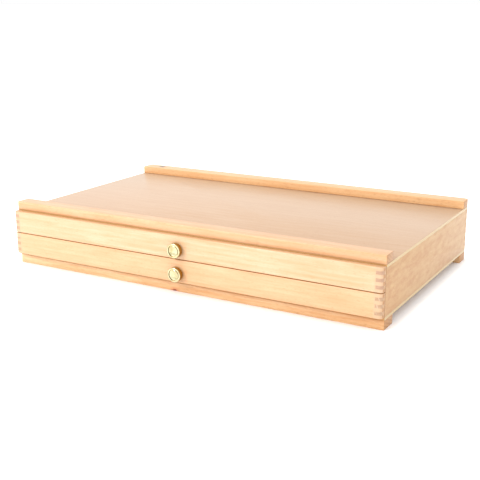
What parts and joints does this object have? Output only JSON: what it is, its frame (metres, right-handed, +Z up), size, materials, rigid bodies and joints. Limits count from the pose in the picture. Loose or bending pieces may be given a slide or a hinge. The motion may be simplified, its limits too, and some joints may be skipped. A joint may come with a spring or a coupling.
{
  "type": "artist storage box",
  "caption": "Low wooden box for an artist's table: a flat plywood top between a front and a rear ledge, shallow sliding drawers with round brass knobs, and foot rails.",
  "frame": {"origin": "under the middle of the whole box, knobs included, on the surface that its feet stand on", "axes": "+X along the width, +Y from the drawer fronts to the back, +Z up"},
  "size_m": [0.4, 0.2485, 0.065],
  "materials": {
    "beech": "planed and lacquered, satin",
    "pale_beech": "planed and lacquered, satin",
    "warm_pale_beech": "planed and lacquered, satin",
    "orange_beech": "planed and lacquered, satin",
    "end_grain": "sanded end grain, satin",
    "plywood": "sanded and lacquered, satin",
    "brass": "polished",
    "steel": "zinc plated"
  },
  "bodies": {
    "case": {"top_panel": "plywood", "bottom_panel": "plywood", "left_side": "beech", "right_side": "beech", "back_board": "beech", "front_ledge": "orange_beech", "rear_ledge": "orange_beech", "front_foot": "orange_beech", "rear_foot": "orange_beech", "upper_left_runner": "beech", "upper_right_runner": "beech", "lower_left_runner": "beech", "lower_right_runner": "beech", "ledge_screws": "steel", "foot_screws": "steel", "runner_brads": "steel", "bottom_panel_brads": "steel"},
    "upper_drawer": {"upper_drawer_front": "pale_beech", "upper_drawer_corner_keys": "end_grain", "upper_drawer_left_side": "beech", "upper_drawer_right_side": "beech", "upper_drawer_back": "beech", "upper_drawer_bottom": "plywood", "upper_drawer_bottom_brads": "steel", "upper_drawer_knob": "brass", "upper_drawer_knob_screw": "steel", "upper_drawer_divider_1": "plywood", "upper_drawer_divider_2": "plywood"},
    "lower_drawer": {"lower_drawer_front": "warm_pale_beech", "lower_drawer_corner_keys": "end_grain", "lower_drawer_left_side": "beech", "lower_drawer_right_side": "beech", "lower_drawer_back": "beech", "lower_drawer_bottom": "plywood", "lower_drawer_bottom_brads": "steel", "lower_drawer_knob": "brass", "lower_drawer_knob_screw": "steel", "lower_drawer_divider_1": "plywood", "lower_drawer_divider_2": "plywood", "lower_drawer_divider_3": "plywood", "lower_drawer_divider_4": "plywood"}
  },
  "joints": [
    {"name": "upper_drawer_slide", "type": "slide", "parent": "case", "child": "upper_drawer", "axis": [0, -1, 0], "range_m": [0, 0.2]},
    {"name": "lower_drawer_slide", "type": "slide", "parent": "case", "child": "lower_drawer", "axis": [0, -1, 0], "range_m": [0, 0.2]}
  ]
}
